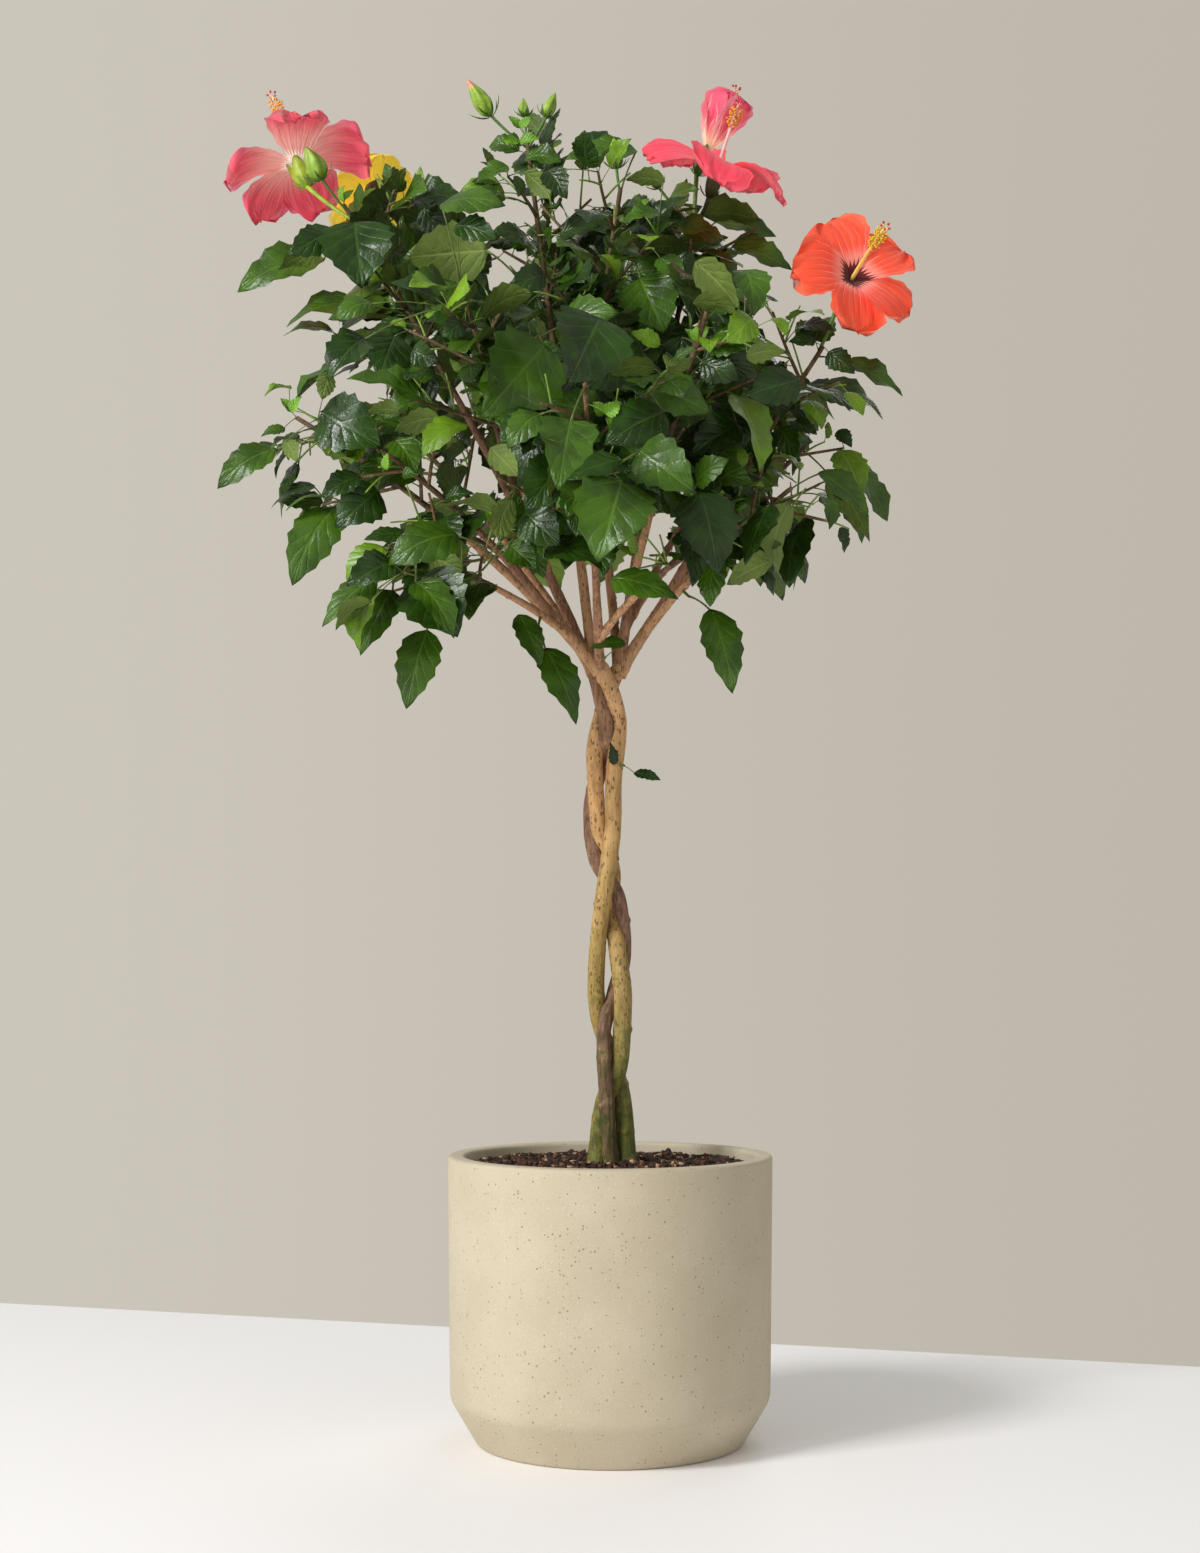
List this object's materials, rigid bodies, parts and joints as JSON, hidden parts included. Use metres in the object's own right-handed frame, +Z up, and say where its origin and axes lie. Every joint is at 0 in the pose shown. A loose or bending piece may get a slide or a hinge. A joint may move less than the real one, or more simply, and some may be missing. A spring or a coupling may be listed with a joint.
{
  "type": "potted hibiscus standard",
  "caption": "Potted hibiscus: a plaited trunk of slim stems forks into boughs that carry leafy sprays with open blooms and buds, in a round cream planter.",
  "frame": {"origin": "centre of the planter's flat underside, on the ground", "axes": "+Z up along the trunk, -Y towards the viewer of the picture, +X to that viewer's right"},
  "size_m": [0.659, 0.7019, 1.2916],
  "materials": {
    "pot": "matte, warm cream, fine speckle and small pits",
    "soil": "loose dark brown bark chips over moist potting soil",
    "stem_brown": "matte fibrous purple-brown bark",
    "stem_tan": "smooth satin bark, tan above and green at the foot",
    "stem_olive": "smooth satin olive bark with dark specks, tan above",
    "bough_bark": "matte tan-brown bark",
    "foliage": "glossy dark green leaves, paler beneath, with rose, coral, orange and yellow blooms"
  },
  "bodies": {
    "root": {"bough_back_centre": "bough_bark", "bough_back_left": "bough_bark", "bough_back_left_low": "bough_bark", "bough_back_right": "bough_bark", "bough_back_right_low": "bough_bark", "bough_back_top": "bough_bark", "bough_front_centre": "bough_bark", "bough_front_left_up": "bough_bark", "bough_front_right": "bough_bark", "bough_front_right_low": "bough_bark", "bough_left_drooping": "bough_bark", "bough_left_low": "bough_bark", "bough_left_mid": "bough_bark", "bough_right_flower": "bough_bark", "bough_right_low": "bough_bark", "bough_right_mid": "bough_bark", "bough_top_centre": "bough_bark", "bough_top_left_back": "bough_bark", "bough_top_middle": "bough_bark", "bough_upper_left": "bough_bark", "bough_upper_right": "bough_bark", "pot": "pot", "soil": "soil", "spray_back_centre": "foliage", "spray_back_left": "foliage", "spray_back_left_low": "foliage", "spray_back_right": "foliage", "spray_back_right_low": "foliage", "spray_back_top": "foliage", "spray_front_centre": "foliage", "spray_front_left_up": "foliage", "spray_front_right": "foliage", "spray_front_right_low": "foliage", "spray_left_drooping": "foliage", "spray_left_low": "foliage", "spray_left_mid": "foliage", "spray_right_flower": "foliage", "spray_right_low": "foliage", "spray_right_mid": "foliage", "spray_top_centre": "foliage", "spray_top_left_back": "foliage", "spray_top_middle": "foliage", "spray_upper_left": "foliage", "spray_upper_right": "foliage", "sprout_fork": "foliage", "sprout_left": "foliage", "sprout_right": "foliage", "sprout_trunk": "foliage", "stem_brown": "stem_brown", "stem_olive": "stem_olive", "stem_tan": "stem_tan"}
  },
  "joints": []
}
